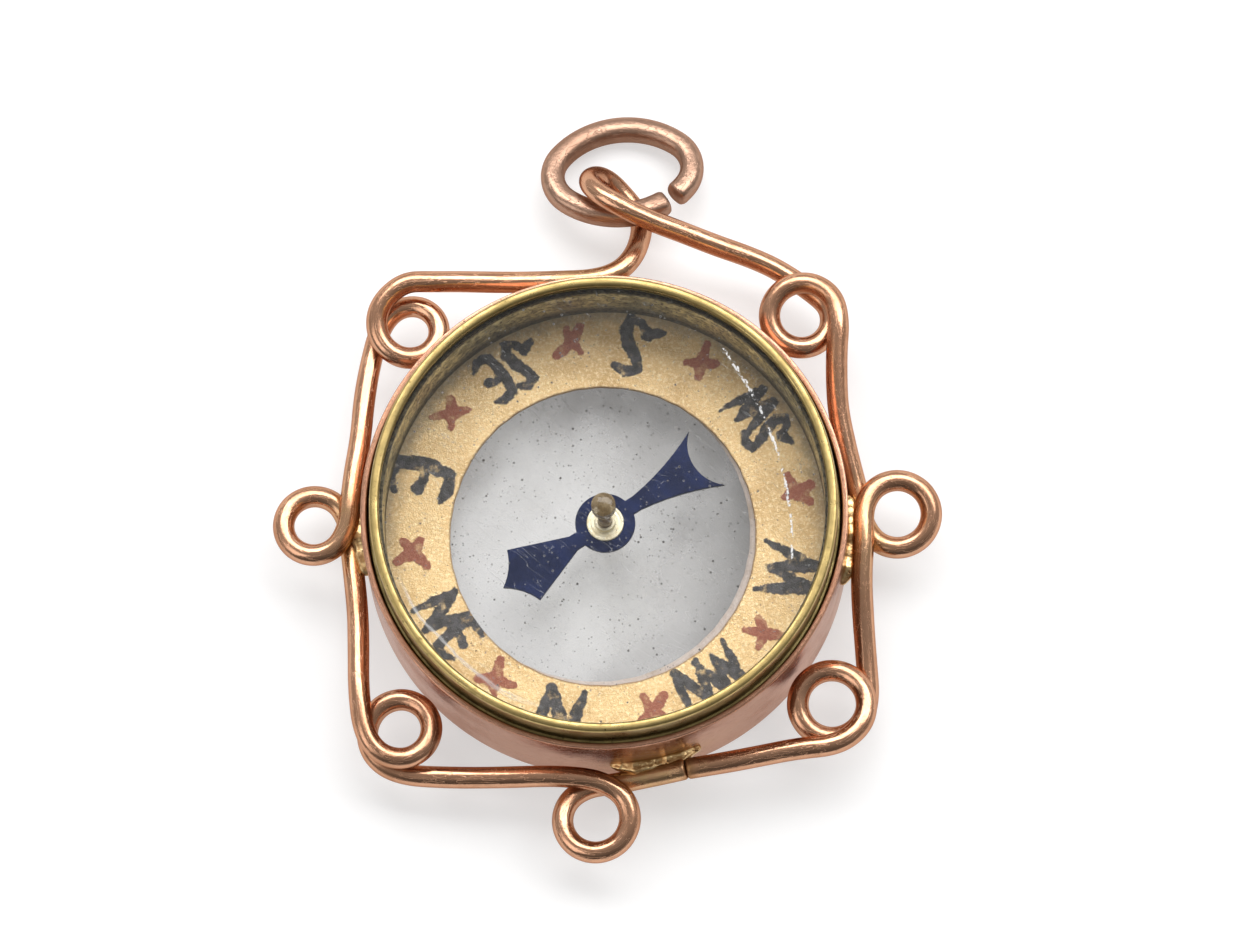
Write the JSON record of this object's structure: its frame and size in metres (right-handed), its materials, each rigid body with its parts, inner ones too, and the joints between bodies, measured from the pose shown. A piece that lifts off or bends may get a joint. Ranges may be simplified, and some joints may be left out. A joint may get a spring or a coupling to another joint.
{
  "type": "compass fob pendant",
  "caption": "Round rose-gold fob with a see-through pocket compass in a plain band, framed by bent wire with scroll loops and hung from an open oval jump ring.",
  "frame": {"origin": "centre of the band's back edge, on the plane the fob lies on", "axes": "+Z out of the dial through the front glass, +Y towards the bail and jump ring, +X to the right seen from the front"},
  "size_m": [0.0277, 0.0322, 0.0066],
  "materials": {
    "rose_gold": "polished rose gold, lightly worn",
    "rose_gold_wire": "polished rose gold, lightly worn",
    "solder": "yellower gold solder, uneven",
    "worn_rose_gold": "rubbed, satin rose gold",
    "capsule_brass": "satin brass, slightly tarnished",
    "bezel_brass": "satin brass, slightly tarnished",
    "clear_glass": "clear, dusty, fine scratches",
    "inner_brass": "dull olive brass strip",
    "card_back": "grey-pink back of the card",
    "gilt_card": "gilt cream card with grey-blue letters and brick-red stars",
    "amber_stud": "olive-brown, see-through",
    "blued_steel": "blued, mottled",
    "collet_brass": "pale brass, satin",
    "staff_steel": "dark steel"
  },
  "bodies": {
    "case": {"case_band": "rose_gold", "scroll_wire": "rose_gold_wire", "solder_web_left": "solder", "solder_web_right": "solder", "solder_web_bottom": "solder", "solder_web_top": "solder"},
    "capsule": {"capsule_cup": "capsule_brass", "front_bezel": "bezel_brass", "rear_glass": "clear_glass", "front_glass": "clear_glass", "rear_distance_ring": "inner_brass", "front_distance_ring": "inner_brass", "rear_dial_card": "card_back", "front_dial_card": "gilt_card", "rear_pivot_cup": "amber_stud", "front_pivot_cup": "amber_stud"},
    "needle": {"needle": "blued_steel", "needle_collet": "collet_brass", "pivot_staff": "staff_steel"},
    "ring": {"jump_ring": "worn_rose_gold"}
  },
  "joints": [
    {"name": "capsule_turn", "type": "hinge", "parent": "case", "child": "capsule", "pos_m": [0, 0, 0.003], "axis": [0, 0, 1], "continuous": true},
    {"name": "needle_spin", "type": "hinge", "parent": "capsule", "child": "needle", "pos_m": [0, 0, 0.003], "axis": [0, 0, 1], "continuous": true},
    {"name": "ring_swing", "type": "hinge", "parent": "case", "child": "ring", "pos_m": [0.00096, 0.01357, 0.00184], "axis": [0.9903, 0.1324, -0.043], "range_deg": [0, 130]}
  ]
}
